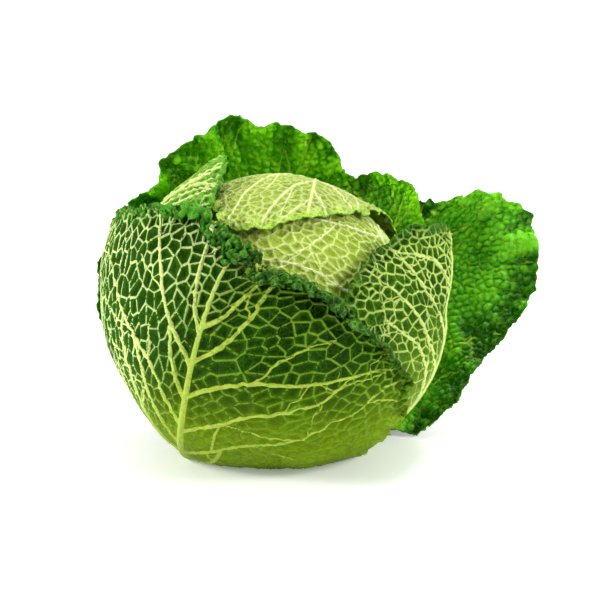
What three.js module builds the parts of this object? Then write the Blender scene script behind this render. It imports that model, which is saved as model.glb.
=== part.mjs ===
// Savoy cabbage: a round, tight head of pale leaves on a short cut stem, with the loose, dark outer
// leaves still on it. Units are millimetres, +Z is up, and the origin is on the table, under the
// middle of the flat spot that the head's weight has pressed on the front leaf.
//
// Every leaf is a thin bent sheet seen from one point, the middle of the head. Its outline is given
// by how far it reaches from its own middle, in degrees around the head, at twelve bearings, and its
// bend by how far from the middle of the head its rim lies at the same bearings. The leaves are laid
// on one after another, and each one is pushed out by those under it, as they are on the plant.
import * as THREE from "three";

// ---- The head and its stem ----
const HEAD_MIDDLE = new THREE.Vector3(0, 18, 94);
const STEM_CUT_MIDDLE = new THREE.Vector3(-28, 33, 0); // the cabbage leans to the right and the front
const HEAD_RADIUS = 84;
const HEAD_FOOT_RADIUS = 60; // the head tapers in towards the stem
const TAPER_FROM = 15; // degrees from the stem at which the taper ends, and at which it starts
const TAPER_TO = 85;
const STEM_TOP_RADIUS = 15;
const STEM_CUT_RADIUS = 20;
const STEM_LEAN = 0.35; // how far the stem's level top drops below the tilted head, for its radius
const STEM_GAP = 0.8; // between the stem's top and the head

// ---- The leaves ----
const LEAF_THICKNESS = 1.6;
const LEAF_SPACING = 3.8; // between the middles of two leaves that lie on each other
const FIRST_SPACING = 2.6; // between the head and the middle of the first leaf on it
const BLEND = 2; // how softly a leaf goes over from its own bend to lying on the ones below
const EDGE_FADE = 11; // degrees past its rim within which a leaf still holds the next one off
const STEM_ROOM = 5.5; // degrees kept free between a leaf's foot and the stem
const RIM_POWER = 1.25; // a leaf bends most near its rim
const PAST_RIM = 1.1; // the share of its reach up to which a leaf's bend is carried on past its rim
const BEARINGS = 12; // the outline's points, one every 30 degrees, clockwise from the leaf's tip
const RINGS = 9;
const SPOKES = 32;

// azimuth 0 is the front and 90 the right; elevation is above the level of the head's middle.
// reach[6] is not given: a leaf's foot always ends at the stem.
const LEAVES = [
  {
    name: "head_leaf_front",
    azimuth: 40, elevation: 15, middle: 88.5, colour: 0xc3d66e,
    reach: [60, 56, 54, 54, 58, 70, 0, 78, 72, 68, 66, 62],
    rim: [88, 88, 89, 89, 86, 78, 68, 78, 86, 88, 88, 88],
  },
  {
    name: "head_leaf_top",
    azimuth: 150, elevation: 58, middle: 90.5, colour: 0xccdc80,
    reach: [64, 76, 54, 46, 52, 66, 76, 72, 56, 42, 37, 47],
    rim: [91, 91, 90, 90, 89, 87, 85, 87, 92, 96, 94, 92],
  },
  {
    name: "inner_leaf_left",
    azimuth: -95, elevation: 10, middle: 101, colour: 0x5d9a3a,
    reach: [60, 60, 78, 82, 84, 78, 0, 60, 58, 58, 58, 58],
    rim: [101, 97, 95, 95, 92, 84, 72, 88, 98, 103, 105, 104],
  },
  {
    name: "inner_leaf_back_right",
    azimuth: 140, elevation: 0, middle: 104, colour: 0x4f9a33,
    reach: [36, 38, 48, 50, 52, 54, 0, 58, 45, 36, 30, 31],
    rim: [137, 120, 112, 106, 100, 90, 74, 90, 102, 108, 113, 126],
  },
  {
    name: "outer_leaf_back",
    azimuth: -175, elevation: 0, middle: 106, colour: 0x3f9a2e,
    reach: [57, 62, 63, 60, 60, 62, 0, 58, 52, 46, 44, 48],
    rim: [133, 138, 128, 118, 108, 94, 77, 94, 106, 112, 119, 126],
  },
  {
    name: "outer_leaf_right",
    azimuth: 80, elevation: 0, middle: 112, belly: 8, colour: 0x6fa544,
    reach: [31, 28, 38, 46, 53, 62, 0, 74, 62, 56, 54, 42],
    rim: [124, 128, 128, 124, 115, 98, 80, 88, 95, 97, 100, 105],
  },
  {
    name: "outer_leaf_front",
    azimuth: -29, elevation: 9, middle: 106, belly: 5, bellyAt: 190, colour: 0x4c8a36,
    reach: [30, 30, 50, 82, 101, 98, 0, 84, 84, 75, 46, 35],
    rim: [102, 100, 102, 107, 111, 103, 109, 106, 116, 123, 119, 107],
  },
  {
    name: "outer_leaf_left",
    azimuth: -142, elevation: -12, middle: 113, colour: 0x468f33,
    reach: [46, 44, 44, 46, 42, 44, 0, 40, 38, 42, 46, 46],
    rim: [126, 122, 116, 112, 108, 98, 86, 98, 108, 116, 122, 126],
  },
  {
    name: "outer_leaf_right_back",
    azimuth: 140, elevation: 0, middle: 138, belly: 16, colour: 0x3a9c2c,
    reach: [22, 23, 34, 38, 40, 50, 0, 66, 53, 41, 41, 35],
    rim: [156, 150, 150, 148, 140, 116, 89, 108, 136, 152, 181, 185],
  },
];

const STEM_AXIS = HEAD_MIDDLE.clone().sub(STEM_CUT_MIDDLE);
const UPWARD = STEM_AXIS.clone().normalize();
const DOWNWARD = UPWARD.clone().negate();
const radians = THREE.MathUtils.degToRad;
const degrees = THREE.MathUtils.radToDeg;

function direction(azimuth, elevation) {
  const [a, e] = [radians(azimuth), radians(elevation)];
  return new THREE.Vector3(Math.sin(a) * Math.cos(e), -Math.cos(a) * Math.cos(e), Math.sin(e));
}

// A closed curve through twelve values, one every 30 degrees, at any bearing (Catmull-Rom).
function around(values, bearing) {
  const place = ((bearing / 360) * BEARINGS + BEARINGS) % BEARINGS;
  const i = Math.floor(place);
  const t = place - i;
  const [a, b, c, d] = [-1, 0, 1, 2].map((k) => values[(i + k + BEARINGS) % BEARINGS]);
  return b + 0.5 * t * (c - a + t * (2 * a - 5 * b + 4 * c - d + t * (3 * (b - c) + d - a)));
}

function softMax(a, b, softness) {
  const h = Math.max(softness - Math.abs(a - b), 0) / softness;
  return Math.max(a, b) + (h * h * softness) / 4;
}

// Each leaf's own axes: out through its middle, up to its tip, and to its right seen from outside.
for (const leaf of LEAVES) {
  leaf.out = direction(leaf.azimuth, leaf.elevation);
  const towardsStem = leaf.out.dot(DOWNWARD);
  leaf.up = UPWARD.clone().addScaledVector(leaf.out, towardsStem).normalize();
  leaf.right = new THREE.Vector3().crossVectors(leaf.up, leaf.out);
  leaf.belly ??= 0;
  leaf.bellyAt ??= 180;
  const stemHalfAngle = degrees(Math.asin(STEM_CUT_RADIUS / leaf.rim[BEARINGS / 2]));
  leaf.reach[BEARINGS / 2] ||= degrees(Math.acos(towardsStem)) - stemHalfAngle - STEM_ROOM;
}

// Where a direction from the head's middle lies on a leaf: its bearing, and its share of the reach.
function placeOn(leaf, way) {
  const bearing = degrees(Math.atan2(way.dot(leaf.right), way.dot(leaf.up)));
  const angle = degrees(Math.acos(THREE.MathUtils.clamp(way.dot(leaf.out), -1, 1)));
  const reach = around(leaf.reach, bearing);
  return { bearing, share: angle / reach, beyond: angle - reach };
}

function wayTo(leaf, bearing, share) {
  const angle = radians(around(leaf.reach, bearing) * share);
  const turn = radians(bearing);
  return leaf.out.clone().multiplyScalar(Math.cos(angle))
    .addScaledVector(leaf.up, Math.sin(angle) * Math.cos(turn))
    .addScaledVector(leaf.right, Math.sin(angle) * Math.sin(turn));
}

// The tight head's radius, at an angle from its stem in degrees.
function headRadius(fromStem) {
  const full = THREE.MathUtils.smoothstep(fromStem, TAPER_FROM, TAPER_TO);
  return HEAD_FOOT_RADIUS + (HEAD_RADIUS - HEAD_FOOT_RADIUS) * full;
}

function wantedRadius(leaf, { bearing, share }) {
  const s = Math.min(share, PAST_RIM);
  const side = Math.max(0, Math.cos(radians(bearing - leaf.bellyAt))) ** 2;
  const sag = leaf.belly * side * Math.sin(Math.PI * Math.min(s, 1));
  return leaf.middle + (around(leaf.rim, bearing) - leaf.middle) * s ** RIM_POWER + sag;
}

// How far a direction from the head's middle can go before it meets the table, or comes close to it.
function tableRadius(way, above) {
  return way.z < 0 ? (HEAD_MIDDLE.z - above) / -way.z : Infinity;
}

// How far the middle of a leaf's thickness is from the head's middle, over all the leaves under it.
function leafRadius(index, way) {
  const fromStem = degrees(Math.acos(THREE.MathUtils.clamp(way.dot(DOWNWARD), -1, 1)));
  let under = headRadius(fromStem) - LEAF_SPACING + FIRST_SPACING;
  for (let i = 0; i <= index; i += 1) {
    const place = placeOn(LEAVES[i], way);
    const cover = i === index ? 1 : 1 - THREE.MathUtils.smoothstep(place.beyond, 0, EDGE_FADE);
    if (cover > 0) {
      const lifted = softMax(wantedRadius(LEAVES[i], place), under + LEAF_SPACING, BLEND);
      const radius = Math.min(lifted, tableRadius(way, LEAF_THICKNESS / 2));
      if (i === index) return radius;
      under += Math.max(radius - under, 0) * cover;
    }
  }
  return under;
}

// A closed sheet: one skin on each side of the leaf's middle, and a strip round the rim.
function leafGeometry(index) {
  const leaf = LEAVES[index];
  const points = [];
  const faces = [];
  const skinSize = 1 + RINGS * SPOKES;
  for (const side of [1, -1]) {
    for (let ring = 0; ring <= RINGS; ring += 1) {
      for (let spoke = 0; spoke < (ring ? SPOKES : 1); spoke += 1) {
        const way = wayTo(leaf, (spoke * 360) / SPOKES, ring / RINGS);
        const radius = leafRadius(index, way) + (side * LEAF_THICKNESS) / 2;
        const table = tableRadius(way, side > 0 ? 0 : LEAF_THICKNESS);
        points.push(HEAD_MIDDLE.clone().addScaledVector(way, Math.min(radius, table)));
      }
    }
  }
  const at = (skin, ring, spoke) => {
    const inSkin = ring ? 1 + (ring - 1) * SPOKES + (spoke % SPOKES) : 0;
    return skin * skinSize + inSkin;
  };
  for (let spoke = 0; spoke < SPOKES; spoke += 1) {
    for (let ring = 0; ring < RINGS; ring += 1) {
      const quad = [[ring, spoke], [ring + 1, spoke], [ring + 1, spoke + 1], [ring, spoke + 1]];
      const [a, b, c, d] = quad.map(([r, s]) => at(0, r, s));
      const [e, f, g, h] = quad.map(([r, s]) => at(1, r, s));
      faces.push(a, c, b, e, f, g);
      if (ring) faces.push(a, d, c, e, g, h);
    }
    const [a, b] = [at(0, RINGS, spoke), at(0, RINGS, spoke + 1)];
    const [c, d] = [at(1, RINGS, spoke), at(1, RINGS, spoke + 1)];
    faces.push(a, b, d, a, d, c);
  }
  return new THREE.BufferGeometry().setFromPoints(points).setIndex(faces);
}

// The tight head: its profile turned about the line through the stem.
function headGeometry() {
  const steps = 18;
  const profile = [];
  for (let i = 0; i <= steps; i += 1) {
    const fromStem = (Math.PI * i) / steps;
    const radius = headRadius(degrees(fromStem));
    const fromAxis = i % steps ? radius * Math.sin(fromStem) : 0;
    profile.push(new THREE.Vector2(fromAxis, -radius * Math.cos(fromStem)));
  }
  return new THREE.LatheGeometry(profile, 28);
}

// A slanting stump with a level cut: level rings whose centres follow the line up to the head.
function stemGeometry() {
  const top = (STEM_AXIS.length() - HEAD_FOOT_RADIUS - STEM_GAP) * UPWARD.z - STEM_TOP_RADIUS * STEM_LEAN;
  const heights = [0, 0.08, 0.5, 1];
  const sides = 36;
  const points = [STEM_CUT_MIDDLE.clone()];
  const faces = [];
  for (const share of heights) {
    const middle = STEM_CUT_MIDDLE.clone().addScaledVector(UPWARD, (share * top) / UPWARD.z);
    const radius = THREE.MathUtils.lerp(STEM_CUT_RADIUS, STEM_TOP_RADIUS, share);
    for (let side = 0; side < sides; side += 1) {
      const turn = (2 * Math.PI * side) / sides;
      const spoke = new THREE.Vector3(Math.cos(turn), Math.sin(turn), 0);
      points.push(middle.clone().addScaledVector(spoke, radius));
    }
  }
  points.push(STEM_CUT_MIDDLE.clone().addScaledVector(UPWARD, top / UPWARD.z));
  const at = (ring, side) => 1 + ring * sides + (side % sides);
  for (let side = 0; side < sides; side += 1) {
    faces.push(0, at(0, side + 1), at(0, side));
    for (let ring = 0; ring + 1 < heights.length; ring += 1) {
      faces.push(at(ring, side), at(ring, side + 1), at(ring + 1, side + 1));
      faces.push(at(ring, side), at(ring + 1, side + 1), at(ring + 1, side));
    }
    faces.push(at(heights.length - 1, side), at(heights.length - 1, side + 1), points.length - 1);
  }
  return new THREE.BufferGeometry().setFromPoints(points).setIndex(faces);
}

function piece(name, geometry, colour, roughness) {
  geometry.computeVertexNormals();
  const material = new THREE.MeshStandardMaterial({ color: colour, roughness, metalness: 0 });
  const mesh = new THREE.Mesh(geometry, material);
  mesh.name = name;
  return mesh;
}

const cabbage = new THREE.Group();
cabbage.add(piece("cut_stem", stemGeometry(), 0xdfe3b4, 0.6));

const head = piece("tight_head", headGeometry(), 0xd5df94, 0.5);
head.quaternion.setFromUnitVectors(new THREE.Vector3(0, 1, 0), UPWARD);
head.position.copy(HEAD_MIDDLE);
cabbage.add(head);

LEAVES.forEach((leaf, index) => {
  cabbage.add(piece(leaf.name, leafGeometry(index), leaf.colour, 0.55));
});

export default cabbage;
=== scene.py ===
import math

import bpy
import numpy as np
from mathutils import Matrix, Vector, kdtree
from mathutils.bvhtree import BVHTree


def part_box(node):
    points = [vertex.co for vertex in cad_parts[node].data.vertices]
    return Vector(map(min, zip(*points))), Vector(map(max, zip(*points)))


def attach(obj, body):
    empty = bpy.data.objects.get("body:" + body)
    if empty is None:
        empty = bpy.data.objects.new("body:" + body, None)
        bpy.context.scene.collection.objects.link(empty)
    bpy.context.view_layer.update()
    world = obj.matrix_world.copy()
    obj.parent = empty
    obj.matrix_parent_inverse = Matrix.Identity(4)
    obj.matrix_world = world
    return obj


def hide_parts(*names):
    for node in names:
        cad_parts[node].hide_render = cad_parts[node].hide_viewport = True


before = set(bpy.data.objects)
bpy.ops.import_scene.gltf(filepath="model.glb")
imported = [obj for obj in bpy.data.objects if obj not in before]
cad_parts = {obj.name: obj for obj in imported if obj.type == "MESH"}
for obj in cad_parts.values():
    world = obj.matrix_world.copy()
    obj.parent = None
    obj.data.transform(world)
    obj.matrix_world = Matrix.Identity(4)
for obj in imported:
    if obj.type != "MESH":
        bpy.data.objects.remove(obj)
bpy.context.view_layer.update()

# ---- Cut stem -------------------------------------------------------------------------------
# The short stump left where the head was cut from its stalk: pale, stringy flesh, with a winding
# row of scars from trimmed leaves and a ring of bundles in its level cut. Nodes make the stump, its
# scars and its bundles; it grows into the foot of the head.
MM = 1000.0
STEM_CUT_RADIUS = 0.020
STEM_TOP_RADIUS = 0.0148
STEM_TOP_SHIFT = Vector((0.0098, -0.00525, 0.0))
STEM_SIDES, STEM_ROWS, STEM_RINGS = 72, 24, 10
SCAR_COUNT = 11
SCAR_SIZE = 0.00405
SCAR_FLATNESS = 0.36
SCAR_TURNS = 2.2
SCAR_SINK_LOW, SCAR_SINK_HIGH = 0.97, 0.98
BUNDLE_COUNT = 26
BUNDLE_RING = 0.0135
BUNDLE_SIZE = 0.0011
BUNDLE_SCALES = (0.6, 1.2)
STRINGS_PER_METRE, BLOTCHES_PER_METRE = 700.0, 90.0
STRING_STRETCH = 0.15
STRING_DEPTH = 0.0006
STEM_FLESH = (0.66, 0.69, 0.34)
STEM_GREEN = (0.36, 0.50, 0.12)
STEM_DRY = (0.42, 0.30, 0.13)

stem_low, stem_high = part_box("cut_stem")
STEM_CUT = Vector((stem_low.x + STEM_CUT_RADIUS, stem_high.y - STEM_CUT_RADIUS, stem_low.z))


def add_node(tree, kind, inputs=None, **settings):
    """Adds one node, links or sets its inputs, and gives it back."""
    made = tree.nodes.new(kind)
    for key, value in settings.items():
        setattr(made, key, value)
    for key, value in (inputs or {}).items():
        if isinstance(value, bpy.types.NodeSocket):
            tree.links.new(value, made.inputs[key])
        else:
            made.inputs[key].default_value = value
    return made


def mix_colour(tree, factor, first, second):
    mixer = add_node(tree, "ShaderNodeMix", data_type="RGBA")
    for socket, value in zip((mixer.inputs[0], mixer.inputs[6], mixer.inputs[7]), (factor, first, second)):
        if isinstance(value, bpy.types.NodeSocket):
            tree.links.new(value, socket)
        else:
            socket.default_value = (*value, 1) if isinstance(value, tuple) else value
    return mixer.outputs[2]


def spread(tree, value, low, high, to_low=0.0, to_high=1.0, soft=False):
    kind = "SMOOTHSTEP" if soft else "LINEAR"
    return add_node(tree, "ShaderNodeMapRange",
                    {"Value": value, "From Min": low, "From Max": high, "To Min": to_low, "To Max": to_high},
                    interpolation_type=kind).outputs["Result"]


def times(tree, first, second):
    return add_node(tree, "ShaderNodeMath", {0: first, 1: second}, operation="MULTIPLY").outputs[0]


def times_plus(tree, first, second, third):
    values = {0: first, 1: second, 2: third}
    return add_node(tree, "ShaderNodeMath", values, operation="MULTIPLY_ADD").outputs[0]


def speckle(tree, where, scale, detail=2.0, output="Fac"):
    return add_node(tree, "ShaderNodeTexNoise",
                    {"Vector": where, "Scale": scale, "Detail": detail}).outputs[output]


def new_material(name):
    material = bpy.data.materials.new(name)
    material.use_nodes = True
    material.node_tree.nodes.clear()
    return material, material.node_tree


def stem_flesh_material():
    material, tree = new_material("stem_flesh")
    where = add_node(tree, "ShaderNodeTexCoord").outputs["Object"]
    stretched = add_node(tree, "ShaderNodeMapping", {"Vector": where, "Scale": (1.0, 1.0, STRING_STRETCH)})
    strings = speckle(tree, stretched.outputs[0], STRINGS_PER_METRE, 3.0)
    blotch = speckle(tree, where, BLOTCHES_PER_METRE)
    colour = mix_colour(tree, spread(tree, strings, 0.35, 0.65), STEM_FLESH, STEM_GREEN)
    colour = mix_colour(tree, spread(tree, blotch, 0.52, 0.72, 0.0, 0.7), colour, STEM_DRY)
    bump = add_node(tree, "ShaderNodeBump", {"Strength": 0.6, "Distance": STRING_DEPTH, "Height": strings})
    shader = add_node(tree, "ShaderNodeBsdfPrincipled",
                      {"Base Color": colour, "Normal": bump.outputs[0],
                       "Roughness": spread(tree, blotch, 0.3, 0.7, 0.45, 0.7)})
    add_node(tree, "ShaderNodeOutputMaterial", {"Surface": shader.outputs[0]})
    return material


def stem_tree(flesh):
    """A stump standing upright on its cut, with scars winding round it and bundles in the cut."""
    tree = bpy.data.node_groups.new("stump", "GeometryNodeTree")
    sizes = {"Scars": SCAR_COUNT, "Scar size": SCAR_SIZE, "Bundles": BUNDLE_COUNT,
             "Bundle size": BUNDLE_SIZE, "Height": stem_high.z - stem_low.z}
    for name, value in sizes.items():
        kind = "NodeSocketInt" if isinstance(value, int) else "NodeSocketFloat"
        tree.interface.new_socket(name, in_out="INPUT", socket_type=kind)
    tree.interface.new_socket("Geometry", in_out="OUTPUT", socket_type="NodeSocketGeometry")
    given = add_node(tree, "NodeGroupInput").outputs
    stump = add_node(tree, "GeometryNodeMeshCone",
                     {"Vertices": STEM_SIDES, "Side Segments": STEM_ROWS, "Fill Segments": STEM_RINGS,
                      "Radius Top": STEM_TOP_RADIUS, "Radius Bottom": STEM_CUT_RADIUS,
                      "Depth": given["Height"]})
    winding = add_node(tree, "GeometryNodeCurveSpiral",
                       {"Resolution": 40, "Rotations": SCAR_TURNS,
                        "Start Radius": STEM_CUT_RADIUS * SCAR_SINK_LOW,
                        "End Radius": STEM_TOP_RADIUS * SCAR_SINK_HIGH, "Height": given["Height"]})
    scar_spots = add_node(tree, "GeometryNodeResampleCurve",
                          {"Curve": winding.outputs[0], "Count": given["Scars"]})
    scar = add_node(tree, "GeometryNodeMeshIcoSphere", {"Radius": given["Scar size"], "Subdivisions": 3})
    flat_scar = add_node(tree, "GeometryNodeTransform",
                         {"Geometry": scar.outputs[0], "Scale": (1.0, 1.0, SCAR_FLATNESS)})
    scars = add_node(tree, "GeometryNodeInstanceOnPoints",
                     {"Points": scar_spots.outputs[0], "Instance": flat_scar.outputs[0]})
    ring = add_node(tree, "GeometryNodeMeshCircle", {"Vertices": given["Bundles"], "Radius": BUNDLE_RING})
    bundle = add_node(tree, "GeometryNodeMeshIcoSphere", {"Radius": given["Bundle size"], "Subdivisions": 2})
    bundle_scale = add_node(tree, "FunctionNodeRandomValue",
                            {2: BUNDLE_SCALES[0], 3: BUNDLE_SCALES[1], "Seed": 5})
    bundles = add_node(tree, "GeometryNodeInstanceOnPoints",
                       {"Points": ring.outputs[0], "Instance": bundle.outputs[0],
                        "Scale": bundle_scale.outputs[1]})
    raised = add_node(tree, "GeometryNodeTransform",
                      {"Geometry": bundles.outputs[0], "Translation": (0.0, 0.0, BUNDLE_SIZE)})
    joined = add_node(tree, "GeometryNodeJoinGeometry")
    for part in (stump.outputs[0], scars.outputs[0], raised.outputs[0]):
        tree.links.new(part, joined.inputs[0])
    plain = add_node(tree, "GeometryNodeRealizeInstances", {"Geometry": joined.outputs[0]})
    coated = add_node(tree, "GeometryNodeSetMaterial", {"Geometry": plain.outputs[0], "Material": flesh})
    add_node(tree, "NodeGroupOutput", {"Geometry": coated.outputs[0]})
    return tree, sizes


def made_by_nodes(name, tree, values):
    """Runs a geometry tree with the given input values and returns its result as a plain mesh."""
    holder = bpy.data.objects.new(name, bpy.data.meshes.new(name))
    bpy.context.scene.collection.objects.link(holder)
    modifier = holder.modifiers.new(name, "NODES")
    modifier.node_group = tree
    for item in tree.interface.items_tree:
        if item.in_out == "INPUT":
            modifier[item.identifier] = values[item.name]
    mesh = bpy.data.meshes.new_from_object(holder.evaluated_get(bpy.context.evaluated_depsgraph_get()))
    bpy.data.objects.remove(holder)
    return mesh


def show(name, mesh):
    piece = bpy.data.objects.new(name, mesh)
    bpy.context.scene.collection.objects.link(piece)
    return piece


stump_tree, stump_sizes = stem_tree(stem_flesh_material())
stump_mesh = made_by_nodes("cut_stem_stump", stump_tree, stump_sizes)
for vertex in stump_mesh.vertices:
    vertex.co.z = max(vertex.co.z, 0.0)
    vertex.co += STEM_CUT + STEM_TOP_SHIFT * (vertex.co.z / stump_sizes["Height"])
stump_mesh.polygons.foreach_set("use_smooth", [True] * len(stump_mesh.polygons))
stump = show("savoy_stump", stump_mesh)
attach(stump, "root")
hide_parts("cut_stem")

# ---- Tight head -----------------------------------------------------------------------------
# The ball of leaves that still wrap each other closely: pale, thin, blistered blades with a net of
# veins. The ball is a turned shape, and three blades lapped over it make what can be seen of it.
# A blade is a closed sheet of two skins, laid over the ball in polar places about its middle.
HEAD_RADIUS = 84.0
HEAD_FOOT_RADIUS = 60.0
TAPER_FROM, TAPER_TO = 15.0, 85.0
BLADE = 0.9
FAR_AWAY = 1e9

head_low, head_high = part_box("tight_head")
MIDDLE = np.array([(head_low.x + head_high.x) / 2 * MM, (head_low.y + head_high.y) / 2 * MM,
                   head_high.z * MM - HEAD_RADIUS])
UP = MIDDLE - np.array(STEM_CUT) * MM
UP /= np.linalg.norm(UP)


def smoothstep(x, low, high):
    t = np.clip((x - low) / (high - low), 0.0, 1.0)
    return t * t * (3 - 2 * t)


def unit(v):
    return v / np.maximum(np.linalg.norm(v, axis=-1, keepdims=True), 1e-9)


NOISE_SIZE = 256
NOISE_GAIN = 1.6
noise_rng = np.random.default_rng(7)
SLOPES = unit(noise_rng.normal(size=(NOISE_SIZE, 3)))
SHUFFLE = np.tile(noise_rng.permutation(NOISE_SIZE), 2)


def noise(p):
    """Smooth noise from about -1 to 1 at the points p, with waves about one unit long."""
    whole = np.floor(p).astype(int)
    part = p - whole
    ease = part ** 3 * (part * (part * 6 - 15) + 10)
    total = np.zeros(len(p))
    for corner in range(8):
        step = np.array([corner & 1, corner >> 1 & 1, corner >> 2 & 1])
        x, y, z = ((whole + step) % NOISE_SIZE).T
        slope = SLOPES[SHUFFLE[SHUFFLE[SHUFFLE[x] + y] + z]]
        weight = np.prod(np.where(step == 1, ease, 1 - ease), axis=1)
        total += weight * np.sum(slope * (part - step), axis=1)
    return total * NOISE_GAIN


def bubbles(p):
    """Rounded bumps with sharp creases between them."""
    return np.abs(noise(p)) * 2 - 0.55


def head_radius(way):
    from_stem = np.degrees(np.arccos(np.clip(-(way @ UP), -1, 1)))
    return HEAD_FOOT_RADIUS + (HEAD_RADIUS - HEAD_FOOT_RADIUS) * smoothstep(from_stem, TAPER_FROM, TAPER_TO)


BEARINGS = 12
FOOT = 6


def around(values, bearing):
    """A smooth value at any bearing, from values at equal steps clockwise from the tip."""
    values = np.asarray(values, float)
    place = (bearing / 360 * BEARINGS) % BEARINGS
    i = np.floor(place).astype(int) % BEARINGS
    t = place - np.floor(place)
    a, b, c, d = (values[(i + k) % BEARINGS] for k in (-1, 0, 1, 2))
    return b + 0.5 * t * (c - a + t * (2 * a - 5 * b + 4 * c - d + t * (3 * (b - c) + d - a)))


# Degrees between the stem and a leaf's foot, the width of a cell of the net as a share of its length,
# degrees that the cells lean from the leaf's upright, and mm for each radian of a leaf laid flat.
STEM_ROOM = 5.5
CELL_SQUEEZE = 0.62
CELL_LEAN = 50.0
FLAT_RADIUS = 100.0
FAN_START, FAN_END = 0.1, 0.86
FAN_CURL = 12


def fan(pairs, low, high):
    """Rows of side veins for a straight leaf: share along the midrib, heading and curl, on both sides."""
    rows = []
    for k in range(pairs):
        q = k / (pairs - 1)
        for side in (-1, 1):
            share = FAN_START + (FAN_END - FAN_START) * (q + (0.5 if side > 0 else 0.0) / pairs)
            rows.append((share, side * (low + (high - low) * q), -side * FAN_CURL))
    return rows


class Leaf:
    """A leaf as a sheet about the head's middle: its places are a bearing from the tip, clockwise as seen
    from outside, and an angle from the leaf's own middle. Angles are in degrees and lengths in mm. Its reach
    (an angle), its rim (a radius) and its rolled strip are given at twelve bearings, and a reach of 0 at the
    foot stands for one that ends at the stem."""

    def __init__(self, name, azimuth, height, reach, rim, middle, seed, **details):
        a, e = math.radians(azimuth), math.radians(height)
        self.name, self.seed = name, seed
        self.out = np.array([math.sin(a) * math.cos(e), -math.cos(a) * math.cos(e), math.sin(e)])
        self.up = unit(UP - self.out * (self.out @ UP))
        self.right = np.cross(self.up, self.out)
        self.middle, self.rim, self.reach = middle, rim, list(reach)
        if not self.reach[FOOT]:
            foot = math.degrees(math.asin(STEM_CUT_RADIUS * MM / rim[FOOT])) + STEM_ROOM
            self.reach[FOOT] = math.degrees(math.acos(-(self.out @ UP))) - foot
        plain = dict(belly=0.0, belly_at=180, offset=None, strip=[0] * BEARINGS, roll=4.5, strip_bubble=0.0,
                     lobe=2.5, frill=4.0, frill_depth=34.0, bubble=1.2, wave=1.0, blister=2.0, cell=10.0,
                     grain=None, rib_half=2.4, lateral_half=1.15, rib_path=[(0.0, 0.0)],
                     laterals=fan(8, 80, 30), rim_width=26.0, low_pale_and_bounce=0.0, low_top=62.0,
                     lit_side_from=(0.0, FAR_AWAY, 2 * FAR_AWAY), show_inner=False)
        for key, value in {**plain, **details}.items():
            setattr(self, key, value)
        lean = math.radians(CELL_LEAN)
        rise, swing = self.up * math.cos(lean), self.right * math.sin(lean)
        grain = [unit(np.array(along)) for along in self.grain or [rise - swing, rise + swing]]
        self.squeeze = [np.eye(3) - (1 - CELL_SQUEEZE) * np.outer(along, along) for along in grain]

    def find(self, way):
        bearing = np.degrees(np.arctan2(way @ self.right, way @ self.up)) % 360
        angle = np.degrees(np.arccos(np.clip(way @ self.out, -1, 1)))
        reach = around(self.reach, bearing)
        return bearing, angle / reach, angle - reach

    def way(self, bearing, angle):
        b, a = np.radians(bearing)[:, None], np.radians(angle)[:, None]
        return np.cos(a) * self.out + np.sin(a) * (np.cos(b) * self.up + np.sin(b) * self.right)

    def strip_at(self, bearing):
        return np.maximum(around(self.strip, bearing), 0)

    def ring(self, bearing, turn=0.0):
        b = np.radians(bearing)
        return np.stack([np.cos(b), np.sin(b), 0 * b + self.seed * 1.7 + turn], 1)


def lie_on_head(way, leaf):
    """Radius of what is under a leaf of the ball, and of the leaf itself."""
    radius = head_radius(way) + leaf.offset
    return radius - BLADE, radius


# Kind, size, number and place in the noise of the waves that lobe a leaf's edge.
LOBES = ((noise, 0.8, 2.4, 0), (bubbles, 0.8, 4.6, 5), (bubbles, 0.62, 9.0, 9), (bubbles, 0.24, 18.0, 13))
LOBES_START, LOBES_FULL = 14, 50
ROLL_TURN = math.radians(200)
JUST_INSIDE = 0.96


def sheet_points(leaf, lie, share, bearing):
    """Points on the smooth leaf and, where it has one, on the rolled strip past its rim: their places, their
    ways from the head's middle, their places on the leaf laid flat, and their distances to the edge."""
    reach = around(leaf.reach, bearing)
    rim = around(leaf.rim, bearing)
    away = smoothstep(np.abs(bearing - 180), LOBES_START, LOBES_FULL)
    lobes = sum(size * kind(leaf.ring(bearing, turn) * waves) for kind, size, waves, turn in LOBES)
    edge = reach + np.degrees(leaf.lobe * lobes * away / rim)
    strip = leaf.strip_at(bearing) * (1 + 0.25 * noise(leaf.ring(bearing, 3) * 6.0))
    full = edge + np.degrees(strip / rim)
    angle = share * full
    flat_angle = np.minimum(angle, edge)
    way = leaf.way(bearing, flat_angle)
    p = MIDDLE + way * lie(way, leaf)[1][:, None]
    over = np.radians(angle - edge) * rim
    rolled = over > 0
    if rolled.any():
        inward = leaf.way(bearing[rolled], flat_angle[rolled] * JUST_INSIDE)
        before = MIDDLE + inward * lie(inward, leaf)[1][:, None]
        along = unit(p[rolled] - before)
        out = way[rolled]
        out = unit(out - along * np.sum(out * along, 1, keepdims=True))
        radius = leaf.roll * (1 + 0.3 * noise(leaf.ring(bearing[rolled], 21) * 7.0))
        turned = np.minimum(over[rolled] / radius, ROLL_TURN)
        rest = np.maximum(over[rolled] - radius * ROLL_TURN, 0)
        x = radius * np.sin(turned) + rest * math.cos(ROLL_TURN)
        y = radius * (1 - np.cos(turned)) + rest * math.sin(ROLL_TURN)
        p[rolled] += along * x[:, None] + out * y[:, None]
    b = np.radians(bearing)
    flat = np.radians(angle)[:, None] * np.stack([np.sin(b), np.cos(b)], 1) * FLAT_RADIUS
    return p, way, flat, np.radians(full - angle) * rim


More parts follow.
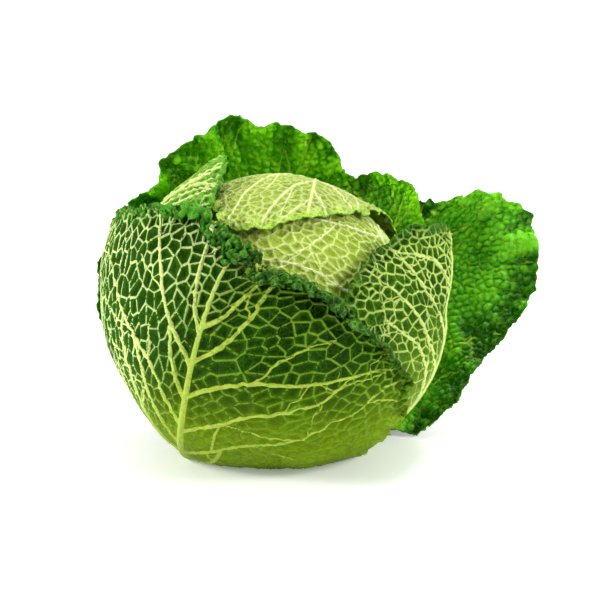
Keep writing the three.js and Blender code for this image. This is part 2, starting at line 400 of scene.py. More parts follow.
def flat_place(leaf, x, y):
    """Share of the reach and bearing of a flat point: millimetres right of and above the leaf's middle."""
    angle = np.degrees(np.hypot(x, y) / FLAT_RADIUS)
    bearing = np.degrees(np.arctan2(x, y)) % 360
    full = around(leaf.reach, bearing) + np.degrees(leaf.strip_at(bearing) / around(leaf.rim, bearing))
    return angle / full, bearing


# Lengths along a vein are in mm, and its end is a share of the leaf's reach.
VEIN_STEP = 2.0
VEIN_END = 0.985
VEIN_TAPER = 0.0055
THINNEST_VEIN = 0.45
FREE_LENGTH, MEETING_GAP = 12, 1.8
WANDER_KEPT, WANDER_NEW, WANDER_USED = 0.8, 0.03, 0.5


def walk_vein(leaf, rng, drawn, x, y, heading, curl, half, length):
    """A vein that starts at a flat point and wanders on until it meets the edge or another vein: points
    and half-widths."""
    xs, ys, halves = [x], [y], [half]
    gone, wander, met = 0.0, 0.0, False
    while gone < length and not met:
        wander = wander * WANDER_KEPT + rng.normal() * WANDER_NEW
        heading += curl * VEIN_STEP + wander * WANDER_USED
        x, y = x + VEIN_STEP * math.sin(heading), y + VEIN_STEP * math.cos(heading)
        if flat_place(leaf, np.array([x]), np.array([y]))[0][0] > VEIN_END:
            break
        gone += VEIN_STEP
        gap = min(np.min(np.hypot(lx - x, ly - y)) for lx, ly, _ in drawn)
        met = gone > FREE_LENGTH and gap < MEETING_GAP
        xs.append(x)
        ys.append(y)
        halves.append(max(half * (1 - VEIN_TAPER * gone), THINNEST_VEIN))
    line = (np.array(xs), np.array(ys), np.array(halves))
    drawn.append(line)
    return line


MIDRIB_POINTS = 160
MIDRIB_SMOOTHING = 12
MIDRIB_SWAY, MIDRIB_SWAYS = 1.2, 9
MIDRIB_FLARE, FLARE_LENGTH = 0.9, 0.07
LONGEST_SIDE_VEIN = 400
# A side vein's forks: how far along they start, how long they are, and how they leave it.
FIRST_FORK, NEXT_FORK, FORK_LENGTH = (24, 50), (24, 46), (18, 60)
FORK_ANGLE, FORK_CURL, FORK_WIDTH = (0.55, 0.95), 0.005, 0.6
FORK_END_ROOM = 8


def length_along(x, y):
    return np.cumsum(np.hypot(np.diff(x, prepend=x[0]), np.diff(y, prepend=y[0])))


def grow_veins(leaf, rng):
    """The midrib, the side veins and their forks, as lists of flat points with half-widths."""
    foot, tip = -math.radians(leaf.reach[FOOT]) * FLAT_RADIUS, math.radians(leaf.reach[0]) * FLAT_RADIUS
    px, py = (np.radians([point[k] for point in leaf.rib_path]) * FLAT_RADIUS for k in (0, 1))
    px, py = np.append(0.0, px), np.append(foot, py)
    s = np.linspace(0, 1, MIDRIB_POINTS)
    y = foot + s * (max(tip, py[-1]) * 0.97 - foot)
    x = np.interp(y, py, px)
    window = 2 * MIDRIB_SMOOTHING + 1
    x = np.convolve(np.pad(x, MIDRIB_SMOOTHING, mode="edge"), np.ones(window) / window, mode="valid")
    x += MIDRIB_SWAY * np.sin(s * MIDRIB_SWAYS + leaf.seed) * s
    keep = flat_place(leaf, x, y)[0] < VEIN_END
    half = leaf.rib_half * (1 - 0.72 * s ** 0.8) * (1 + MIDRIB_FLARE * np.exp(-s / FLARE_LENGTH))
    midrib = (x[keep], y[keep], half[keep])
    laterals, forks, drawn = [], [], [midrib]
    for share, heading, curl in leaf.laterals:
        start_x, start_y = np.interp(share, s, x), np.interp(share, s, y)
        turn = math.radians(heading + rng.uniform(-3, 3))
        curl = math.radians(curl) / FLAT_RADIUS
        width = leaf.lateral_half * (1.1 - 0.4 * share)
        laterals.append(walk_vein(leaf, rng, drawn, start_x, start_y, turn, curl, width, LONGEST_SIDE_VEIN))
    for lx, ly, lw in laterals:
        along = length_along(lx, ly)
        at, side = rng.uniform(*FIRST_FORK), rng.choice([-1, 1])
        while at < along[-1] - FORK_END_ROOM:
            i = int(np.searchsorted(along, at))
            j = max(i - 2, 0)
            turn = math.atan2(lx[i] - lx[j], ly[i] - ly[j]) + side * rng.uniform(*FORK_ANGLE)
            length = rng.uniform(*FORK_LENGTH)
            width = lw[i] * FORK_WIDTH
            forks.append(walk_vein(leaf, rng, drawn, lx[i], ly[i], turn, -side * FORK_CURL, width, length))
            side = -side
            at += rng.uniform(*NEXT_FORK)
    return midrib, laterals, forks


def evenly(line, step):
    """A vein's points and half-widths again, a step apart."""
    x, y, half = line
    along = length_along(x, y)
    at = np.arange(0, along[-1], step)
    return np.interp(at, along, x), np.interp(at, along, y), np.interp(at, along, half)


def tree_of(points):
    tree = kdtree.KDTree(len(points))
    for i, p in enumerate(points.tolist()):
        tree.insert(p, i)
    tree.balance()
    return tree


VEIN_SAMPLE = 0.6


def vein_distance(points, lines, leaf, lie):
    """Distance from each point to the nearest vein's middle line, and that vein's half-width there."""
    parts = [evenly(line, VEIN_SAMPLE) for line in lines if len(line[0]) > 2]
    x, y, half = (np.concatenate([part[k] for part in parts]) for k in range(3))
    share, bearing = flat_place(leaf, x, y)
    tree = tree_of(sheet_points(leaf, lie, np.minimum(share, 1), bearing)[0])
    found = [tree.find(p)[1:] for p in points.tolist()]
    nearest, distance = (np.array([f[k] for f in found]) for k in (0, 1))
    return distance, half[nearest]


def in_half(flat, midrib):
    """0 for the half of the blade left of its midrib, and 1 for the right one."""
    return (flat[:, 0] > np.interp(flat[:, 1], midrib[1], midrib[0])).astype(int)


HALVES_APART = 1000.0


def squeezed(leaf, p, half):
    """Points in a space where the leaf's long cells are round, and its two halves are far apart."""
    q = np.where(half[:, None] == 1, p @ leaf.squeeze[1], p @ leaf.squeeze[0])
    q[:, 0] += half * HALVES_APART
    return q


MOST_CELLS = 6000
PAIR_STEP, PAIR_OFFSET, PAIR_ROOM = (0.6, 1.5), (0.28, 0.55), 0.5
FREE_TRIES = 3500
TRIES_CELL = 9.0
SMALL_CELLS_FROM, SMALL_CELLS_TO = 4, 34


def cell_middles(leaf, lie, lines, rng):
    """Middles of the net's cells: in pairs on both sides of each vein, so that cells meet it, then free."""
    midrib = lines[0]
    cell = leaf.cell * math.sqrt(CELL_SQUEEZE)
    found = np.zeros((MOST_CELLS, 3))
    count = 0

    def far(p, least):
        return count == 0 or np.min(np.sum((found[:count] - p) ** 2, 1)) > least * least

    for line in lines:
        x, y, half = evenly(line, 1.0)
        i = int(cell * 0.4)
        while i < len(x) - 2:
            dx, dy = x[i + 1] - x[i - 1], y[i + 1] - y[i - 1]
            long = math.hypot(dx, dy) + 1e-9
            off = cell * rng.uniform(*PAIR_OFFSET) + half[i] * 0.4
            px = np.array([x[i] + dy / long * off, x[i] - dy / long * off])
            py = np.array([y[i] - dx / long * off, y[i] + dx / long * off])
            share, bearing = flat_place(leaf, px, py)
            if share.max() < 1.0:
                pair, _, flat, _ = sheet_points(leaf, lie, share, bearing)
                pair = squeezed(leaf, pair, in_half(flat, midrib))
                if far(pair[0], cell * PAIR_ROOM) and far(pair[1], cell * PAIR_ROOM):
                    found[count:count + 2] = pair
                    count += 2
            i += int(cell * rng.uniform(*PAIR_STEP))
    tries = int(FREE_TRIES * max(1.0, TRIES_CELL / cell))
    share, bearing = np.sqrt(rng.uniform(0, 1, tries)), rng.uniform(0, 360, tries)
    p, _, flat, from_edge = sheet_points(leaf, lie, share, bearing)
    p = squeezed(leaf, p, in_half(flat, midrib))
    away = smoothstep(from_edge, SMALL_CELLS_FROM, SMALL_CELLS_TO)
    room = cell * (0.52 + 0.2 * away) * rng.uniform(0.55, 1.5, tries)
    for place, least in zip(p, room):
        if count < len(found) and far(place, least):
            found[count] = place
            count += 1
    return found[:count]


def scattered(numbers, swing):
    """A number from 0 to 1 for each given one, which jumps about as if it were random."""
    return np.modf(np.abs(np.sin(numbers) * swing))[0]


def net_of_cells(leaf, points, half, middles):
    """Distance and way to the nearest cell border, and random numbers for the cell and for the border."""
    tree = tree_of(middles)
    points = squeezed(leaf, points, half)
    near = [tree.find_n(p, 4) for p in points.tolist()]
    who = np.array([[f[1] for f in row] for row in near])
    far = np.array([[f[2] for f in row] for row in near])
    gap = middles[who[:, 1:]] - middles[who[:, :1]]
    wide = np.linalg.norm(gap, axis=2)
    to_border = (far[:, 1:] ** 2 - far[:, :1] ** 2) / (2 * wide)
    pick = np.argmin(to_border, axis=1)
    rows = np.arange(len(points))
    border = to_border[rows, pick]
    way = gap[rows, pick] / wide[rows, pick][:, None]
    cell, other = who[:, 0], who[rows, pick + 1]

    # Out of the squeezed space, to the way and the distance on the leaf itself.
    way = np.where(half[:, None] == 1, way @ leaf.squeeze[1], way @ leaf.squeeze[0])
    length = np.linalg.norm(way, axis=1)
    border, way = border / length, way / length[:, None]
    low, high = np.minimum(cell, other), np.maximum(cell, other)
    pair = scattered(low * 12.9898 + high * 78.233, 43758.5453)
    return border, way, scattered(cell * 91.345, 47453.53), pair


def disc_grid(n):
    """A square grid wrapped to a disc: share of the reach and bearing of each of its points."""
    steps = np.linspace(-1, 1, n + 1)
    a, b = (v.ravel() for v in np.meshgrid(steps, steps, indexing="ij"))
    wide = np.abs(a) > np.abs(b)
    r, side = np.where(wide, a, b), np.where(wide, b, a)
    quarter = np.pi / 4 * side / np.where(r == 0, 1, r)
    turn = np.where(wide, quarter, np.pi / 2 - quarter)
    x, y = r * np.cos(turn), r * np.sin(turn)
    share = np.hypot(x, y)
    return share * (1.1 - 0.1 * share), np.degrees(np.arctan2(x, y)) % 360


def squares(n):
    i, j = np.meshgrid(np.arange(n), np.arange(n), indexing="ij")
    v = (i * (n + 1) + j).ravel()
    return np.stack([v, v + n + 1, v + n + 2, v + 1], 1)


def rim_loop(n):
    k, m = np.arange(n), n + 1
    return np.concatenate([k * m, n * m + k, (n - k) * m + n, n - k])


def normals(p, faces):
    across = np.cross(p[faces[:, 2]] - p[faces[:, 0]], p[faces[:, 3]] - p[faces[:, 1]])
    total = np.zeros_like(p)
    for k in range(4):
        for c in range(3):
            total[:, c] += np.bincount(faces[:, k], across[:, c], len(p))
    return unit(total)


def roof_over(way, leaf):
    """Radius of the nearest leaf that is laid over this one, from the solids not yet replaced."""
    points, faces = [], []
    for name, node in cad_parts.items():
        if name != leaf.name and not node.hide_render:
            start = len(points)
            points.extend(v.co * MM for v in node.data.vertices)
            faces.extend([start + i for i in f.vertices] for f in node.data.polygons)
    if not faces:
        return np.full(len(way), FAR_AWAY)
    tree = BVHTree.FromPolygons(points, faces)
    start = Vector(MIDDLE)
    hits = [tree.ray_cast(start, w)[3] for w in way.tolist()]
    return np.array([FAR_AWAY if h is None else h for h in hits])


# Points this near a cell border, in grid steps, move onto it.
SNAP_SHARE = 0.5
# Gaps to the next leaf in which a blade can hardly move, and in which it moves freely.
TIGHT, LOOSE = 4, 15
# Lengths of the waves that shape a blade, from its broad bends to its grain.
BROAD_BEND, PLEAT, FOLD, BUBBLE, STRIP_BUBBLE, FINE_GRAIN = 28.0, 19.0, 8.5, 6.0, 4.2, 2.6
FOLD_SHARE = 0.6
LEAST_FREE = 0.1
FOOT_HALF, FOOT_FADE = 12, 60
DOME_SHARE = 0.4
CREST_BY_PLEAT, CREST_BY_RELIEF = 0.16, 0.22
MIDRIB_HEIGHT, SIDE_VEIN_HEIGHT, NET_HEIGHT = 0.95, 0.85, 0.3
RIB_SPREAD = 1.3
INNER_RISE = 0.2


def leaf_mesh(leaf, lie, n, coarse):
    """The leaf's blade as a closed mesh, of a fine skin of n by n squares and one with squares coarse times
    as large, and the numbers that its material reads."""
    rng = np.random.default_rng(leaf.seed)
    share, bearing = disc_grid(n)
    p, way, flat, from_edge = sheet_points(leaf, lie, share, bearing)
    faces = squares(n)
    midrib, laterals, forks = grow_veins(leaf, rng)
    middles = cell_middles(leaf, lie, [midrib, *laterals, *forks], rng)
    border, to_border, lone, pair = net_of_cells(leaf, p, in_half(flat, midrib), middles)
    spacing = 2 * math.radians(np.mean(leaf.reach)) * FLAT_RADIUS / n
    snap = (border < spacing * SNAP_SHARE) & (from_edge > 1)
    p = p + to_border * np.where(snap, border, 0)[:, None]
    border = np.where(snap, 0, border)
    d_mid, half_mid = vein_distance(p, [midrib], leaf, lie)
    d_side, half_side = vein_distance(p, laterals + forks, leaf, lie)

    under, radius = lie(way, leaf)
    roof = roof_over(way, leaf)
    free_out = smoothstep(roof - radius, TIGHT, LOOSE)
    free_in = smoothstep(radius - under, TIGHT, LOOSE)
    near_rim = 1 - smoothstep(from_edge, 0, leaf.frill_depth)
    not_foot = smoothstep(np.abs(bearing - 180), 8, 45)

    # Pleats run in from the edge and die out, and smaller folds cross them.
    b, reach = np.radians(bearing), np.radians(around(leaf.reach, bearing))
    edge_place = np.stack([np.sin(b), np.cos(b), 0 * b], 1) * reach[:, None] * FLAT_RADIUS
    edge_place[:, 2] = from_edge * 0.3 + leaf.seed * 37.0
    pleat = leaf.frill * near_rim ** 1.3 * noise(edge_place / PLEAT)
    pleat += leaf.frill * FOLD_SHARE * near_rim ** 2.0 * noise(edge_place / FOLD + 11)
    pleat += leaf.wave * noise(p / BROAD_BEND + leaf.seed * 2.3)
    pleat *= 0.15 + 0.85 * not_foot
    pleat *= np.maximum(np.where(pleat > 0, free_out, free_in), LEAST_FREE)
    p = p + normals(p, faces) * pleat[:, None]

    foot_side = smoothstep(flat[:, 1] / flat[:, 1].min(), 0.3, 0.95)
    foot = foot_side * (1 - 0.8 * smoothstep(np.abs(flat[:, 0]), FOOT_HALF, FOOT_FADE))
    # Paler near the table too: partly the leaf's paler base, partly painted bounce light from the table.
    foot = np.maximum(foot, leaf.low_pale_and_bounce * (1 - smoothstep(p[:, 2], 4, leaf.low_top)))

    # Each cell of the net bulges, and bubbles and grain cover the bulges.
    dome = 1 - (1 - np.clip(border / (leaf.cell * DOME_SHARE), 0, 1)) ** 2
    by_rib = smoothstep(d_mid / half_mid, 0.8, 3.2)
    relief = leaf.blister * dome * by_rib * (1 - 0.6 * foot) * (0.65 + 0.6 * lone)
    relief += leaf.bubble * bubbles(p / BUBBLE + leaf.seed) * (0.12 + near_rim) * (1 - 0.7 * foot)
    relief += 0.3 * noise(p / FINE_GRAIN + leaf.seed) * (0.35 + near_rim)
    relief *= 0.25 + 0.75 * smoothstep(from_edge, -0.5, 4.0)
    on_strip = 1 - smoothstep(from_edge - leaf.strip_at(bearing), -1, 6)
    relief -= leaf.strip_bubble * on_strip * bubbles(p / STRIP_BUBBLE + leaf.seed)
    p = p - normals(p, faces) * relief[:, None]
    # How far each point stands out on the pleats and bubbles; the colours read it to paint light on ridges
    # and shade in hollows.
    crest = np.clip(0.5 + CREST_BY_PLEAT * pleat - CREST_BY_RELIEF * (relief - np.mean(relief)), 0, 1)

    # The veins stand out as rounded ribs on the outer side, and a little on the inner one.
    rise = np.zeros(len(p))
    for distance, half, height in ((d_mid, half_mid, MIDRIB_HEIGHT), (d_side, half_side, SIDE_VEIN_HEIGHT)):
        across = np.clip(distance / (half * RIB_SPREAD), 0, 1)
        rise = np.maximum(rise, (0.5 + 0.5 * np.cos(np.pi * across)) * half * height)
    rise *= smoothstep(from_edge, 0, 12) * 0.7 + 0.3
    rise = np.maximum(rise, NET_HEIGHT * (1 - smoothstep(border, 0.1, 0.9)))
    out = normals(p, faces)
    outer = p + out * (BLADE / 2 + rise * (0.45 + 0.55 * smoothstep(roof - radius, 3, 8)))[:, None]
    inner = p - out * (BLADE / 2 + INNER_RISE * rise)[:, None]
    outer = keep_clear(leaf, lie, outer, roof, OUTER_ROOM)
    inner = keep_clear(leaf, lie, inner, roof, INNER_ROOM)

    m = n // coarse
    i, j = np.meshgrid(np.arange(m + 1) * coarse, np.arange(m + 1) * coarse, indexing="ij")
    pick = (i * (n + 1) + j).ravel()
    fine, thin = (inner, outer) if leaf.show_inner else (outer, inner)
    points = np.concatenate([fine, thin[pick]])
    fine_faces, thin_faces = faces, squares(m)[:, ::-1] + len(fine)
    band = edge_band(rim_loop(n), rim_loop(m) + len(fine), coarse)
    if leaf.show_inner:
        fine_faces, thin_faces, band = fine_faces[:, ::-1], thin_faces[:, ::-1], band[:, ::-1]
    # A share that rises across the leaf towards one side, which the colours paint lighter: painted light on
    # that side, painted shade on the other.
    tilt, low, high = leaf.lit_side_from
    slant = flat[:, 0] * math.sin(math.radians(tilt)) + flat[:, 1] * math.cos(math.radians(tilt))
    vein = np.minimum(d_mid - half_mid, d_side - half_side)
    fields = dict(vein=np.clip(vein, -2, 4), border=np.clip(border, 0, 5), pair=pair, lone=lone, dome=dome,
                  edge=1 - smoothstep(from_edge, 0, leaf.rim_width), foot=foot,
                  pale=smoothstep(slant, low, high), crest=crest)
    fields = {key: np.concatenate([value, value[pick]]) for key, value in fields.items()}
    outside = np.zeros(len(points))
    outside[len(fine):] = 1.0
    fields["outside"] = outside if leaf.show_inner else 1 - outside
    # On the inner side ridges and hollows swap, so the painted light and shade swap too.
    fields["crest"] = np.where(fields["outside"] > 0.5, fields["crest"], 1 - fields["crest"])
    return points, np.concatenate([fine_faces, thin_faces]), band, fields


def edge_band(fine, thin, coarse):
    """Triangles that close the gap between the two skins' edges."""
    triangles = []
    turn = max(coarse // 2, 1)
    for k in range(len(thin)):
        here, there = thin[k], thin[(k + 1) % len(thin)]
        chain = [fine[(k * coarse + s) % len(fine)] for s in range(coarse + 1)]
        for s in range(coarse):
            triangles.append((chain[s], here if s < turn else there, chain[s + 1]))
            if s == turn - 1:
                triangles.append((chain[s + 1], here, there))
    return np.array(triangles)


# Room in mm that each skin keeps over the leaf or ball below it, under the leaf above and over the table.
OUTER_ROOM = dict(above_leaf=3.0, above_ball=0.2, below=0.9, above_table=0.02)
INNER_ROOM = dict(above_leaf=2.2, above_ball=-0.4, below=1.7, above_table=0.6)


def keep_clear(leaf, lie, skin, roof, room):
    """Holds a skin above the leaf below, under the leaf above, and on the table."""
    v = skin - MIDDLE
    r = np.linalg.norm(v, axis=1)
    w = v / r[:, None]
    least = lie(w, leaf)[0] + room["above_leaf" if leaf.offset is None else "above_ball"]
    r = np.maximum(np.minimum(r, np.maximum(roof - room["below"], least)), least)
    held = MIDDLE + w * r[:, None]
    held[:, 2] = np.maximum(held[:, 2], room["above_table"])
    return held


def mesh_of(name, points, four, three, fields):
    """A smooth-shaded mesh from millimetre points, four- and three-sided faces and per-point numbers."""
    mesh = bpy.data.meshes.new(name)
    mesh.vertices.add(len(points))
    mesh.vertices.foreach_set("co", (points / MM).astype(np.float32).ravel())
    mesh.loops.add(len(four) * 4 + len(three) * 3)
    corners = np.concatenate([four.ravel(), three.ravel()]).astype(np.int32)
    mesh.loops.foreach_set("vertex_index", corners)
    mesh.polygons.add(len(four) + len(three))
    starts = np.concatenate([np.arange(len(four)) * 4, len(four) * 4 + np.arange(len(three)) * 3])
    mesh.polygons.foreach_set("loop_start", starts.astype(np.int32))
    mesh.polygons.foreach_set("use_smooth", np.ones(len(four) + len(three), bool))
    mesh.update(calc_edges=True)
    mesh.validate()
    for key, values in fields.items():
        layer = mesh.attributes.new(key, "FLOAT", "POINT")
        layer.data.foreach_set("value", values.astype(np.float32))
    return mesh


# What one side of a leaf has unless its own colours say otherwise: how strongly each colour shows,
# and how dark the painted shade in its hollows and how light the painted light on its ridges are.
PLAIN_SIDE = dict(light_amount=0.8, rim_amount=0.85, dome_shading_amount=0.4, lace_amount=0.2, small_amount=0.45,
                  sun_amount=0.0, hollow_shade=0.5, ridge_light=1.35, net_amount=0.9, net_rim=0.35, rib_rim=0.5)
# Waves or cells in a metre, and lengths in metres.
BROAD_SCALE, BEND_SCALE, SMALL_SCALE, GRAIN_SCALE = 38.0, 110.0, 165.0, 620.0
BEND = 0.006
BUMP_DEPTH = 0.0005
# What the surface reads at each point: the distances in mm to the nearest vein and cell border, a number
# for that border and for the cell, and shares from 0 to 1.
FIELDS = ("vein", "border", "pair", "lone", "dome", "edge", "foot", "pale", "crest", "outside")


def mesh_lines(tree, where, scale, low, high):
    """Thin lines between small cells that are spread over the surface."""
    cells = add_node(tree, "ShaderNodeTexVoronoi", {"Vector": where, "Scale": scale},
                     feature="DISTANCE_TO_EDGE")
    return spread(tree, cells.outputs["Distance"], low, high, 1.0, 0.0, True)


def side_colour(tree, side, field, broad, lace, small, net, rib):
    """The colour of one side of a leaf: green cells, paler to the foot, with painted light and shade, under
    fine lines, net and ribs.
    """
    c = {**PLAIN_SIDE, **side}
    body = mix_colour(tree, spread(tree, broad, 0.36, 0.64), c["deep"], c["body"])
    body = mix_colour(tree, spread(tree, field["lone"], 0.2, 1.0, 0.0, 0.55), body, c["other"])
    # Lighter cells, rim, net and ribs towards the leaf's lit side: painted light.
    body = mix_colour(tree, times(tree, field["pale"], c["light_amount"]), body, c.get("light", c["other"]))
    margin = mix_colour(tree, field["pale"], c["rim"], c.get("rim_light", c["rim"]))
    body = mix_colour(tree, times(tree, field["edge"], c["rim_amount"]), body, margin)
    body = mix_colour(tree, times(tree, field["foot"], 0.9), body, c["foot"])
    # Cell middles get a colour of their own: painted shade where they sink in (outer sides, darker colours)
    # and painted light where they bulge (inner sides, lighter colours), less of it towards the foot.
    dome_shading = spread(tree, field["foot"], 0.0, 0.7, c["dome_shading_amount"], 0.0)
    body = mix_colour(tree, times(tree, field["dome"], dome_shading), body, c["dome_shading"])
    body = mix_colour(tree, times(tree, lace, c["lace_amount"]), body, c["lace"])
    body = mix_colour(tree, times(tree, small, c["small_amount"]), body, c["lace"])
    # A sunlit tint and a darker or lighter scale by the crest: painted light on ridges and painted shade in
    # hollows.
    sun = spread(tree, field["crest"], 0.5, 0.95, 0.0, c["sun_amount"])
    body = mix_colour(tree, sun, body, c.get("sun", c["other"]))
    shade = spread(tree, field["crest"], 0.15, 0.85, c["hollow_shade"], c["ridge_light"])
    body = add_node(tree, "ShaderNodeVectorMath", {0: body, "Scale": shade}, operation="SCALE").outputs[0]
    thread = mix_colour(tree, field["pale"], c["net"], c.get("net_light", c["net"]))
    calm = spread(tree, field["edge"], 0.2, 1.0, c["net_amount"], c["net_rim"])
    body = mix_colour(tree, times(tree, net, calm), body, thread)
    strong = mix_colour(tree, field["pale"], c["rib"], c.get("rib_light", c["rib"]))
    calm = spread(tree, field["edge"], 0.4, 1.0, 1.0, c["rib_rim"])
    return mix_colour(tree, times(tree, rib, calm), body, strong)


def leaf_skin(name, outer, inner, glow, through=0.12, roughness=0.36, specular=0.1, rim_specular=0.12,
              lace_scale=300.0, net_wide=1.0):
    """A leaf's surface, with its own colours on the outer and the inner side, and some light let through."""
    material, tree = new_material(name)
    where = add_node(tree, "ShaderNodeTexCoord").outputs["Object"]
    broad = speckle(tree, where, BROAD_SCALE, 4.0)
    grain = speckle(tree, where, GRAIN_SCALE)
    lace = mesh_lines(tree, where, lace_scale, 0.03, 0.14)
    bend = speckle(tree, where, BEND_SCALE, output="Color")
    bent = add_node(tree, "ShaderNodeVectorMath", {0: bend, 1: (BEND, BEND, BEND), 2: where},
                    operation="MULTIPLY_ADD").outputs[0]
    small = mesh_lines(tree, bent, SMALL_SCALE, 0.02, 0.085)
    field = {key: add_node(tree, "ShaderNodeAttribute", attribute_name=key).outputs["Fac"] for key in FIELDS}
    width = times_plus(tree, field["pair"], 0.5 * net_wide, field["border"])
    net = spread(tree, width, 0.42 * net_wide, 0.90 * net_wide, 1.0, 0.0, True)
    rib = spread(tree, field["vein"], -0.25, 0.3, 1.0, 0.0, True)
    sides = [side_colour(tree, side, field, broad, lace, small, net, rib) for side in (inner, outer)]
    colour = mix_colour(tree, field["outside"], *sides)
    height = times_plus(tree, small, 1.2, times_plus(tree, lace, 0.5, grain))
    bump = add_node(tree, "ShaderNodeBump", {"Strength": 0.7, "Distance": BUMP_DEPTH, "Height": height})
    shader = add_node(tree, "ShaderNodeBsdfPrincipled",
                      {"Base Color": colour, "Normal": bump.outputs[0],
                       "Roughness": spread(tree, broad, 0.3, 0.7, roughness - 0.06, roughness + 0.08),
                       "Specular IOR Level": spread(tree, field["edge"], 0.3, 1.0, specular, rim_specular)})
    light = add_node(tree, "ShaderNodeBsdfTranslucent", {"Color": mix_colour(tree, 0.5, colour, glow)})
    both = add_node(tree, "ShaderNodeMixShader", {0: through, 1: shader.outputs[0], 2: light.outputs[0]})
    add_node(tree, "ShaderNodeOutputMaterial", {"Surface": both.outputs[0]})
    return material


HEAD_PALE = dict(deep=(0.27, 0.43, 0.008), body=(0.41, 0.56, 0.022), other=(0.52, 0.65, 0.08),
                 foot=(0.60, 0.66, 0.22), rim=(0.15, 0.36, 0.006), dome_shading=(0.27, 0.44, 0.008),
                 lace=(0.56, 0.67, 0.16), net=(0.63, 0.73, 0.24), rib=(0.80, 0.86, 0.42),
                 rim_amount=0.55, dome_shading_amount=0.5, lace_amount=0.4, net_rim=0.5)
head_skin = leaf_skin("head_pale", HEAD_PALE, HEAD_PALE, (0.6, 0.8, 0.1), lace_scale=330.0)


# The ball lies this far under the head's outline, covered by the blades.
BALL_DEPTH = 3.4
BALL_RINGS, BALL_SPOKES = 56, 96


def ball_mesh(depth, rings, spokes):
    """The round inside of the head, its faces turned outwards."""
    side = unit(np.cross(UP, [1.0, 0.0, 0.0]))
    other = np.cross(UP, side)
    a = np.repeat(np.pi * np.arange(1, rings) / rings, spokes)
    b = np.tile(2 * np.pi * np.arange(spokes) / spokes, rings - 1)
    across = np.cos(b)[:, None] * side + np.sin(b)[:, None] * other
    way = -np.cos(a)[:, None] * UP + np.sin(a)[:, None] * across
    way = np.concatenate([way, [-UP, UP]])
    points = MIDDLE + way * (head_radius(way) - depth)[:, None]
    i, j = (v.ravel() for v in np.meshgrid(np.arange(rings - 2), np.arange(spokes), indexing="ij"))
    k = (j + 1) % spokes
    four = np.stack([i * spokes + j, i * spokes + k, (i + 1) * spokes + k, (i + 1) * spokes + j], 1)
    j, last = np.arange(spokes), (rings - 2) * spokes
    k = (j + 1) % spokes
    low = np.stack([k, j, np.full(spokes, len(points) - 2)], 1)
    high = np.stack([last + j, last + k, np.full(spokes, len(points) - 1)], 1)
    return points, four, np.concatenate([low, high])


# Squares along a skin, and the three blades, the last one on the outside.
WRAP_FINE = 150
WRAPS = [
    dict(azimuth=-60, height=25, offset=-1.6, seed=31,
         reach=[80, 84, 88, 86, 80, 78, 84, 80, 82, 88, 90, 84]),
    dict(azimuth=185, height=5, offset=-0.4, seed=32,
         reach=[78, 66, 60, 62, 66, 74, 80, 76, 70, 66, 62, 70]),
    dict(azimuth=-110, height=30, offset=0.8, seed=33,
         reach=[66, 62, 60, 58, 66, 80, 92, 84, 70, 62, 58, 60]),
]
# The ball reads as a little hollow, so its colour gets a little painted shade.
BALL_LOOK = dict(vein=4.0, border=3.0, crest=0.4)
points, four, three = ball_mesh(BALL_DEPTH, BALL_RINGS, BALL_SPOKES)
head_fields = {key: np.full(len(points), BALL_LOOK.get(key, 0.0)) for key in FIELDS}
for wrap in WRAPS:
    leaf = Leaf("tight_head", rim=[HEAD_RADIUS] * BEARINGS, middle=HEAD_RADIUS, lobe=2.2, frill=0.8,
                bubble=0.35, wave=0.3, blister=0.9, cell=8.5, rib_half=2.0, lateral_half=1.0,
                rim_width=12.0, **wrap)
    p, f, band, fields = leaf_mesh(leaf, lie_on_head, WRAP_FINE, 2)
    start = len(points)
    points = np.concatenate([points, p])
    four, three = np.concatenate([four, f + start]), np.concatenate([three, band + start])
    head_fields = {key: np.concatenate([head_fields[key], fields[key]]) for key in head_fields}
head_ball = show("savoy_tight_head", mesh_of("tight_head", points, four, three, head_fields))
head_ball.data.materials.append(head_skin)
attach(head_ball, "root")
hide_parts("tight_head")

# ---- Front leaf of the head -----------------------------------------------------------------
# The pale leaf that closes the head towards the front, with a cream midrib that forks off to the
# right. It grows from the stem like every leaf from here on, and each of them lies on those before
# it and is pushed out where they are in its way.
# Millimetres from one leaf to the next, from the head to the first of them, over which a leaf bends
# when it meets the one below, and over which a leaf stops carrying the next past its own edge.
SPACING = 3.8
FIRST_SPACING = 2.6
BLEND = 2.0
EDGE_FADE = 11.0
# How a leaf's radius goes from its middle to its rim, and how far past the rim it still goes on.
RIM_POWER = 1.25
PAST_RIM = 1.1
LEVEL = 1e-3
FINE = 280
BOTH_FINE = 218
laid = []


def soft_max(a, b, softness):
    near = np.maximum(softness - np.abs(a - b), 0) / softness
    return np.maximum(a, b) + near * near * softness / 4


def lie_in_stack(way, leaf):
    """Radius of what is under a leaf, and of the leaf itself, in each direction from the middle."""
    under = head_radius(way) - SPACING + FIRST_SPACING
    table = np.where(way[:, 2] < -LEVEL, (MIDDLE[2] - BLADE / 2) / np.maximum(-way[:, 2], LEVEL), FAR_AWAY)
    for one in [*laid, leaf]:
        bearing, share, beyond = one.find(way)
        s = np.minimum(share, PAST_RIM)
        sag = one.belly * np.maximum(0, np.cos(np.radians(bearing - one.belly_at))) ** 2
        wanted = one.middle + (around(one.rim, bearing) - one.middle) * s ** RIM_POWER
        wanted += sag * np.sin(np.pi * np.minimum(s, 1))
        radius = np.minimum(soft_max(wanted, under + SPACING, BLEND), table)
        if one is leaf:
            return under, radius
        under = under + np.maximum(radius - under, 0) * (1 - smoothstep(beyond, 0, EDGE_FADE))


